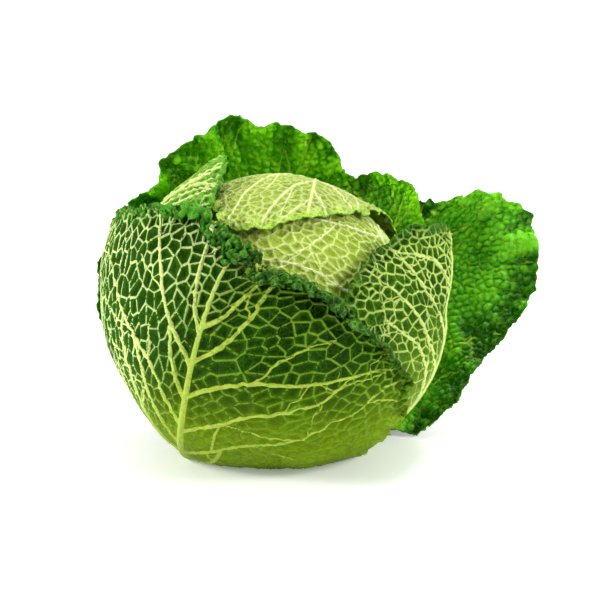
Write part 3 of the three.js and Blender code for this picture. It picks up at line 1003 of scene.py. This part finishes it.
def grow_leaf(leaf, skin):
    """Makes the leaf's piece, in place of its plain solid, and lays it down for the leaves after it."""
    fineness = (BOTH_FINE, 1) if leaf.show_inner else (FINE, 2)
    mesh = mesh_of(leaf.name + "_blade", *leaf_mesh(leaf, lie_in_stack, *fineness))
    mesh.materials.append(skin)
    piece = show("savoy_" + leaf.name, mesh)
    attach(piece, "root")
    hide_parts(leaf.name)
    laid.append(leaf)


grow_leaf(Leaf(
    "head_leaf_front", azimuth=40, height=15, middle=88.5, seed=11,
    reach=[60, 56, 54, 54, 58, 70, 0, 78, 72, 68, 66, 62],
    rim=[88, 88, 89, 89, 86, 78, 68, 78, 86, 88, 88, 88],
    cell=9.0, blister=1.1, frill=1.2, bubble=0.35, wave=0.5, lobe=1.5, rib_half=2.6, lateral_half=1.35,
    rim_width=12.0, rib_path=[(14, -25), (25, 15), (27, 45)],
    laterals=[(0.30, -62, -8), (0.45, -70, -12), (0.58, -80, -6), (0.70, -92, 4), (0.82, -100, 12),
              (0.94, -112, 30), (0.4, 40, 0), (0.6, 40, 0), (0.8, 30, 0)]), head_skin)

# ---- Top leaf of the head -------------------------------------------------------------------
# The leaf that comes over the head from behind and laps over the one before it. It is pale and
# thin like that one, a little duller, and its free edge is crimped and bright green.
TOP_GREEN = dict(HEAD_PALE, rim=(0.15, 0.40, 0.004), rim_amount=0.95, deep=(0.20, 0.31, 0.010),
                 body=(0.29, 0.40, 0.03), other=(0.36, 0.47, 0.08), lace=(0.50, 0.60, 0.15),
                 net=(0.49, 0.58, 0.18), rib=(0.66, 0.72, 0.32))
top_skin = leaf_skin("head_top", TOP_GREEN, TOP_GREEN, (0.6, 0.8, 0.1), lace_scale=330.0)
grow_leaf(Leaf(
    "head_leaf_top", azimuth=150, height=58, middle=90.5, seed=12,
    reach=[64, 76, 54, 46, 52, 66, 76, 72, 56, 42, 37, 47],
    rim=[91, 91, 90, 90, 89, 87, 85, 87, 92, 96, 94, 92],
    cell=9.0, blister=1.2, frill=5.2, frill_depth=18.0, bubble=1.2, wave=0.5, lobe=4.2, rib_half=2.4,
    lateral_half=1.3, rim_width=10.0, laterals=fan(6, 75, 35)), top_skin)

# ---- Left leaf inside the wrapping leaves ---------------------------------------------------
# A wrapping leaf of which only the crimped top comes out beside the head. Its side veins are pale
# and drawn together like the ribs of a fan, over darker green; its inner face is a vivid green.
INNER_VIVID = dict(deep=(0.004, 0.30, 0.0), body=(0.07, 0.56, 0.002), other=(0.22, 0.70, 0.006),
                   foot=(0.34, 0.60, 0.03), rim=(0.045, 0.34, 0.012), dome_shading=(0.10, 0.66, 0.002),
                   lace=(0.24, 0.70, 0.008), net=(0.46, 0.84, 0.02), rib=(0.60, 0.90, 0.05),
                   sun=(0.34, 0.82, 0.008), sun_amount=0.5, hollow_shade=0.22,
                   rim_amount=0.5, dome_shading_amount=0.35, lace_amount=0.25, net_amount=0.6, net_rim=0.25)
FAN_GREEN = dict(deep=(0.03, 0.16, 0.0), body=(0.07, 0.27, 0.002), other=(0.15, 0.38, 0.008),
                 foot=(0.33, 0.46, 0.04), rim=(0.04, 0.22, 0.006), dome_shading=(0.04, 0.20, 0.002),
                 lace=(0.22, 0.42, 0.03), net=(0.26, 0.46, 0.06), rib=(0.66, 0.78, 0.26),
                 net_rim=0.3, rib_rim=0.8)
fan_skin = leaf_skin("fan_green", FAN_GREEN, INNER_VIVID, (0.3, 0.7, 0.05), net_wide=0.75)
grow_leaf(Leaf(
    "inner_leaf_left", azimuth=-95, height=10, middle=101, seed=13,
    reach=[63, 62, 78, 82, 84, 78, 0, 60, 58, 58, 60, 62],
    rim=[103, 98, 95, 95, 92, 84, 72, 88, 98, 103, 107, 107],
    cell=9.5, blister=1.8, frill=4.4, bubble=1.4, lobe=3.2, lateral_half=1.6,
    laterals=fan(11, 62, 6)), fan_skin)

# ---- Back right leaf inside the wrapping leaves ----------------------------------------------
# A small upright leaf behind the head whose corner stands up as a curl. It shows its inner face,
# vivid green and bubbled, with light coming through the thin blade.
vivid_skin = leaf_skin("vivid_green", FAN_GREEN, INNER_VIVID, (0.30, 1.0, 0.02), through=0.35, specular=0.3,
                       roughness=0.32)
grow_leaf(Leaf(
    "inner_leaf_back_right", azimuth=140, height=0, middle=104, seed=14,
    reach=[36, 38, 48, 50, 52, 54, 0, 58, 45, 36, 30, 31],
    rim=[137, 120, 112, 106, 100, 90, 74, 90, 102, 108, 113, 126],
    cell=6.5, blister=1.8, frill=5.5, bubble=1.6, lobe=4.0, show_inner=True), vivid_skin)

# ---- Outer leaf at the back ------------------------------------------------------------------
# A large leaf that stands up behind the head and shows its vivid inner face. It is pleated
# lengthwise, thin enough to let light through, and its rounded edge is lobed and frilled.
grow_leaf(Leaf(
    "outer_leaf_back", azimuth=-175, height=0, middle=106, seed=15,
    reach=[57, 62, 63, 60, 60, 62, 0, 58, 52, 46, 44, 48],
    rim=[133, 138, 128, 118, 108, 94, 77, 94, 106, 112, 119, 126],
    cell=6.5, blister=2.2, frill=8.0, frill_depth=60.0, bubble=1.9, wave=2.2, lobe=5.0, show_inner=True,
    laterals=fan(8, 65, 12)), vivid_skin)

# ---- Outer leaf on the right -----------------------------------------------------------------
# A wrapping leaf seen edge on: its midrib runs up the side, and strong cream side veins lean
# away from it, with a bold net between them and a dark crimped edge. It is paler near its foot, partly
# painted bounce light.
RIGHT_GREEN = dict(deep=(0.006, 0.060, 0.0), body=(0.026, 0.12, 0.0), other=(0.08, 0.21, 0.002),
                   foot=(0.33, 0.50, 0.02), rim=(0.004, 0.060, 0.0), dome_shading=(0.012, 0.085, 0.0),
                   lace=(0.13, 0.28, 0.008), net=(0.42, 0.57, 0.12), rib=(0.58, 0.70, 0.20),
                   rim_amount=0.8, dome_shading_amount=0.5, lace_amount=0.25, net_amount=1.0,
                   net_rim=0.25, rib_rim=0.6)
right_skin = leaf_skin("right_green", RIGHT_GREEN, INNER_VIVID, (0.3, 0.7, 0.02),
                       specular=0.06, net_wide=0.68)
grow_leaf(Leaf(
    "outer_leaf_right", azimuth=80, height=0, middle=112, belly=8.0, seed=16,
    reach=[31, 28, 38, 46, 53, 62, 0, 74, 62, 56, 54, 42],
    rim=[124, 128, 128, 124, 115, 98, 80, 88, 95, 97, 100, 105],
    cell=10.5, blister=2.0, frill=3.6, frill_depth=24.0, bubble=1.5, lobe=3.0,
    rib_half=3.4, lateral_half=1.5, rim_width=15.0, low_pale_and_bounce=0.9, low_top=112.0,
    rib_path=[(-13, -41), (2, -8), (13, 27)],
    laterals=[(0.28, -50, 18), (0.40, -46, 14), (0.50, -40, 12), (0.58, -37, 10), (0.68, -34, 6),
              (0.80, -26, 4), (0.90, -18, 0), (0.3, 62, -20), (0.45, 55, -18), (0.6, 45, -16),
              (0.75, 36, -12)]), right_skin)

# ---- Outer leaf at the front -----------------------------------------------------------------
# The large leaf that wraps the front: dark green, with a thick pale midrib from the stem, long
# side veins that fan out from it, and a top edge that is rolled outwards into a bubbled band.
FRONT_GREEN = dict(deep=(0.001, 0.016, 0.0), body=(0.010, 0.066, 0.0), other=(0.050, 0.17, 0.0),
                   foot=(0.20, 0.32, 0.002), rim=(0.010, 0.085, 0.0), rim_light=(0.04, 0.24, 0.0),
                   dome_shading=(0.003, 0.034, 0.0), light=(0.024, 0.12, 0.0), lace=(0.06, 0.15, 0.0),
                   net=(0.15, 0.27, 0.018), net_light=(0.58, 0.72, 0.27), rib=(0.36, 0.48, 0.06),
                   rib_light=(0.68, 0.79, 0.27), rim_amount=0.65, dome_shading_amount=0.55, lace_amount=0.15,
                   small_amount=0.35, net_rim=0.3)
BAND_GREEN = dict(deep=(0.001, 0.015, 0.0), body=(0.005, 0.042, 0.0), other=(0.024, 0.10, 0.002),
                  foot=(0.20, 0.36, 0.01), rim=(0.007, 0.050, 0.001), rim_light=(0.022, 0.16, 0.0),
                  light=(0.016, 0.13, 0.0), dome_shading=(0.010, 0.065, 0.002), lace=(0.10, 0.22, 0.03),
                  net=(0.05, 0.15, 0.010), rib=(0.14, 0.26, 0.03), hollow_shade=0.1, ridge_light=1.9,
                  rim_amount=0.7, net_amount=0.5, net_rim=0.3, rib_rim=0.2)
front_skin = leaf_skin("front_green", FRONT_GREEN, BAND_GREEN, (0.2, 0.6, 0.0), through=0.05, specular=0.04,
                       roughness=0.38, rim_specular=0.07, net_wide=0.78)
grow_leaf(Leaf(
    "outer_leaf_front", azimuth=-29, height=9, middle=106, belly=5.0, belly_at=190, seed=17,
    reach=[30, 30, 50, 82, 101, 98, 0, 84, 84, 73, 43, 35],
    rim=[102, 100, 102, 107, 111, 103, 109, 106, 116, 123, 119, 107],
    strip=[23, 23, 18, 8, 0, 0, 0, 0, 0, 0, 7, 20], roll=4.8, strip_bubble=2.5,
    cell=10.5, grain=[(0.15, 0, 1), (1, 0, 0.25)], blister=1.8, frill=3.4, frill_depth=26.0, bubble=1.3,
    lobe=3.6, rib_half=3.2, lateral_half=1.7, rim_width=24.0, low_pale_and_bounce=1.0, low_top=92.0,
    # Its upper left is painted lighter, as if lit from the left, and its middle and right darker, as painted
    # shade.
    lit_side_from=(-75, -22, 38),
    rib_path=[(0, -65), (4.5, -47), (6.5, -29), (6, -2), (2, 21)],
    laterals=[(0.74, 44, -16), (0.63, 46, -6), (0.51, 52, -6), (0.36, 54, 0), (0.21, 60, 18), (0.11, 78, 6),
              (0.045, 92, 2), (0.72, -44, 8), (0.61, -42, 10), (0.50, -38, 10), (0.39, -37, 8),
              (0.29, -42, 10), (0.19, -54, 18), (0.10, -66, 24)]), front_skin)

# ---- Outer leaf on the left -------------------------------------------------------------------
# A lower leaf on the far left side, close against the others: the same dark green blade as the
# front leaf, with paler cells and net, and a crimped edge.
LEFT_GREEN = dict(FRONT_GREEN, body=(0.04, 0.17, 0.002), other=(0.10, 0.26, 0.01), net=(0.40, 0.54, 0.11))
left_skin = leaf_skin("left_green", LEFT_GREEN, INNER_VIVID, (0.2, 0.6, 0.03))
grow_leaf(Leaf(
    "outer_leaf_left", azimuth=-142, height=-12, middle=113, seed=18,
    reach=[46, 44, 44, 46, 42, 44, 0, 40, 38, 42, 46, 46],
    rim=[126, 122, 116, 112, 108, 98, 86, 98, 108, 116, 122, 126],
    cell=9.5, blister=2.0, frill=4.5, bubble=1.3, lobe=3.4), left_skin)

# ---- Flared leaf at the back right --------------------------------------------------------------
# The outermost leaf, bent away from the head. It shows its vivid inner face, bubbled between
# thin veins, and a frilled edge of a darker, bluish green with small rounded lobes.
FLARED = dict(INNER_VIVID, deep=(0.003, 0.21, 0.0), body=(0.034, 0.38, 0.003), other=(0.11, 0.50, 0.010),
              rim=(0.022, 0.22, 0.035), rim_amount=0.6, sun=(0.22, 0.66, 0.012))
flared_skin = leaf_skin("flared_green", LEFT_GREEN, FLARED, (0.15, 0.9, 0.03), through=0.3, specular=0.35,
                        roughness=0.32)
grow_leaf(Leaf(
    "outer_leaf_right_back", azimuth=140, height=0, middle=138, belly=16.0, seed=19,
    reach=[22, 23, 34, 38, 40, 50, 0, 66, 54, 40, 39, 31],
    rim=[154, 150, 150, 148, 140, 116, 89, 108, 136, 152, 186, 192],
    cell=6.5, blister=2.2, frill=9.0, frill_depth=60.0, bubble=2.2, wave=3.4, lobe=6.0, rim_width=24.0,
    show_inner=True, laterals=fan(8, 62, 16)), flared_skin)

# ---- Stage ---------------------------------------------------------------------------------------
# A white table top, painted and a little glossy, that glows faintly away from the object so that
# it goes over into the white surroundings, and glows less near it as a painted shadow. Three soft
# square lamps stand above and at both sides, and the camera looks down a little.
TABLE_HALF = 6.0
TABLE_WHITE, TABLE_WARM = (0.93, 0.93, 0.93), (0.96, 0.96, 0.96)
CLOUD_SCALE = 0.25
SHADOW_FROM, SHADOW_TO = 0.05, 0.19
GLOW_NEAR, GLOW_FAR = 0.22, 0.70
table_material, tree = new_material("table_white")
where = add_node(tree, "ShaderNodeTexCoord").outputs["Object"]
cloud = speckle(tree, where, CLOUD_SCALE)
from_middle = add_node(tree, "ShaderNodeVectorMath", {0: where}, operation="LENGTH").outputs["Value"]
# Weaker glow near the object: a painted shadow under it.
glow = spread(tree, from_middle, SHADOW_FROM, SHADOW_TO, GLOW_NEAR, GLOW_FAR, True)
paint = add_node(tree, "ShaderNodeBsdfPrincipled",
                 {"Base Color": mix_colour(tree, cloud, TABLE_WHITE, TABLE_WARM), "Roughness": 0.3,
                  "Emission Color": (1, 1, 1, 1), "Emission Strength": glow})
add_node(tree, "ShaderNodeOutputMaterial", {"Surface": paint.outputs[0]})
table_mesh = bpy.data.meshes.new("table")
corners = [(x * TABLE_HALF, y * TABLE_HALF, 0) for x, y in ((-1, -1), (1, -1), (1, 1), (-1, 1))]
table_mesh.from_pydata(corners, [], [(0, 1, 2, 3)])
table_mesh.materials.append(table_material)
show("table", table_mesh)

ROOM_LIGHT, ROOM_SEEN = 0.34, 1.05
world = bpy.data.worlds.new("studio")
bpy.context.scene.world = world
world.use_nodes = True
tree = world.node_tree
seen = add_node(tree, "ShaderNodeLightPath").outputs["Is Camera Ray"]
strength = spread(tree, seen, 0.0, 1.0, ROOM_LIGHT, ROOM_SEEN)
tree.links.new(strength, tree.nodes["Background"].inputs["Strength"])
tree.nodes["Background"].inputs["Color"].default_value = (1, 1, 1, 1)

# Each lamp's place and side in metres, and its power in watts.
LIT_PLACE = Vector((0.0, 0.02, 0.1))
LAMPS = {
    "top_light": ((0.1, 0.3, 1.4), 0.7, 19),
    "left_light": ((-1.3, -0.35, 0.75), 0.45, 20),
    "right_light": ((1.25, -0.5, 0.8), 0.45, 15),
}
for name, (place, side, power) in LAMPS.items():
    data = bpy.data.lights.new(name, "AREA")
    data.shape, data.size, data.energy = "SQUARE", side, power
    lamp = bpy.data.objects.new(name, data)
    lamp.location = place
    lamp.rotation_euler = (LIT_PLACE - Vector(place)).to_track_quat("-Z", "Y").to_euler()
    bpy.context.scene.collection.objects.link(lamp)

VIEW_TILT = math.radians(14)
VIEW_DISTANCE = 1.111
VIEW_SHIFT = Vector((0.0167, 0.0, 0.0))
VIEW_LIFT = 0.007
LENS_MM, SENSOR_MM = 100, 36
camera_data = bpy.data.cameras.new("camera")
camera_data.lens, camera_data.sensor_width = LENS_MM, SENSOR_MM
camera = bpy.data.objects.new("camera", camera_data)
toward = Vector((0.0, math.cos(VIEW_TILT), -math.sin(VIEW_TILT)))
upward = Vector((0.0, math.sin(VIEW_TILT), math.cos(VIEW_TILT)))
camera.location = Vector(MIDDLE / MM) + VIEW_SHIFT + upward * VIEW_LIFT - toward * VIEW_DISTANCE
camera.rotation_euler = (math.pi / 2 - VIEW_TILT, 0, 0)
bpy.context.scene.collection.objects.link(camera)
bpy.context.scene.camera = camera
bpy.context.scene.view_settings.view_transform = "Standard"
